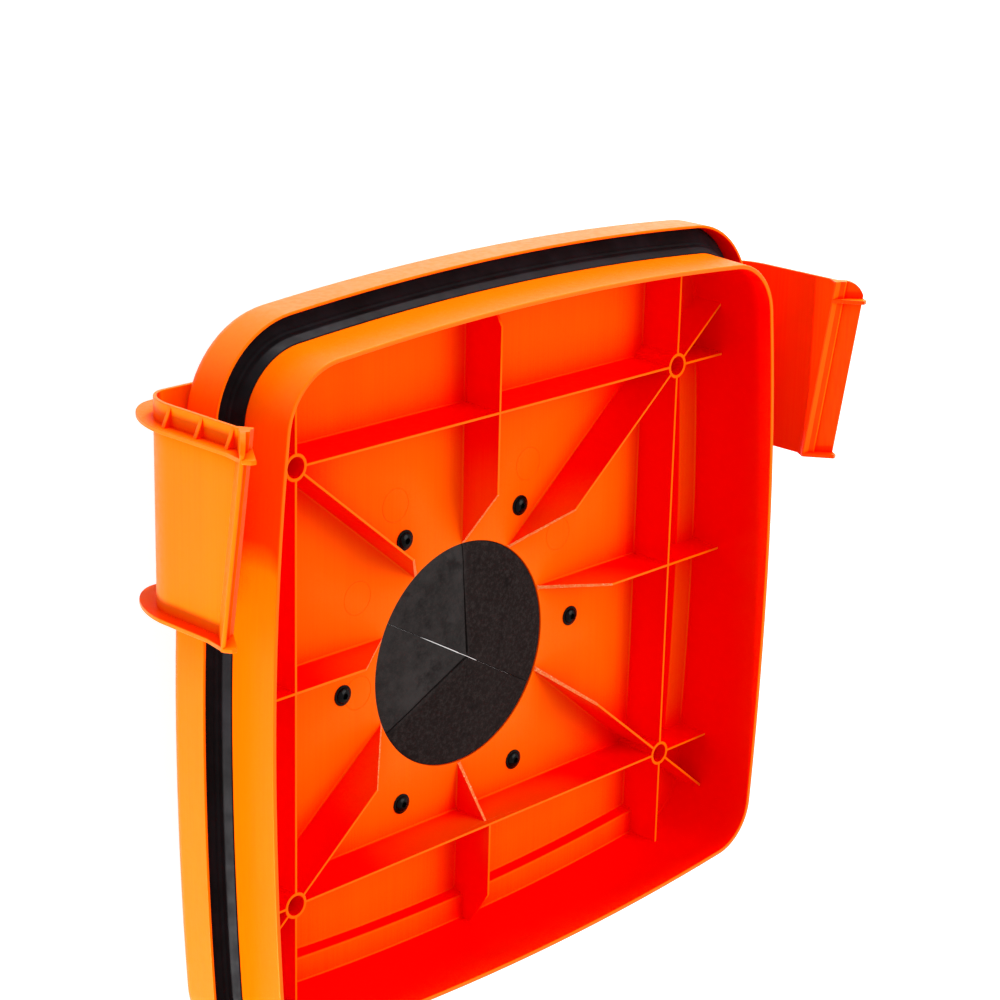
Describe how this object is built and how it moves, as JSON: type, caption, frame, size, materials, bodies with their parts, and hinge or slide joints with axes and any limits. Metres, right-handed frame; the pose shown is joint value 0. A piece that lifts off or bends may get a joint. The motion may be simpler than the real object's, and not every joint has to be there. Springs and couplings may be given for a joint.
{
  "type": "mixing tub splash lid",
  "caption": "Near-square plastic tub lid seen with its ribbed underside up: rubber rim seal, round hole with a slit foam diaphragm for a mixing shaft, and hinged side latches.",
  "frame": {"origin": "centre of the lid's outline, on the plane that the lid lies on when it lies on its outer face", "axes": "+Z out of the underside of the lid (the side that faces into the tub), X across the two latched sides, +Y towards the end that carries the latches"},
  "size_m": [0.4736, 0.4172, 0.1118],
  "materials": {
    "lid_plastic": "satin injection-moulded, orange",
    "latch_plastic": "satin injection-moulded, orange",
    "ring_plastic": "satin injection-moulded, orange",
    "seal_rubber": "satin black rubber",
    "foam": "matt closed-cell foam sheet, black",
    "black_steel": "black oxide",
    "zinc_steel": "bright zinc plated"
  },
  "bodies": {
    "lid": {"lid_pan": "lid_plastic", "lid_skirt": "lid_plastic", "long_ribs": "lid_plastic", "cross_ribs": "lid_plastic", "diagonal_ribs": "lid_plastic", "corner_bosses": "lid_plastic", "hinge_lugs": "lid_plastic", "rim_seal": "seal_rubber", "foam_diaphragm": "foam", "clamp_ring": "ring_plastic", "clamp_screws": "black_steel", "clamp_washers": "zinc_steel", "clamp_nuts": "zinc_steel", "hinge_pin_left": "zinc_steel", "hinge_pin_right": "zinc_steel"},
    "left_latch": {"latch_left": "latch_plastic"},
    "right_latch": {"latch_right": "latch_plastic"}
  },
  "joints": [
    {"name": "left_latch_hinge", "type": "hinge", "parent": "lid", "child": "left_latch", "pos_m": [-0.1926, 0.10795, 0.011], "axis": [0, -1, 0], "range_deg": [0, 70]},
    {"name": "right_latch_hinge", "type": "hinge", "parent": "lid", "child": "right_latch", "pos_m": [0.1926, 0.10795, 0.011], "axis": [0, 1, 0], "range_deg": [0, 70]}
  ]
}
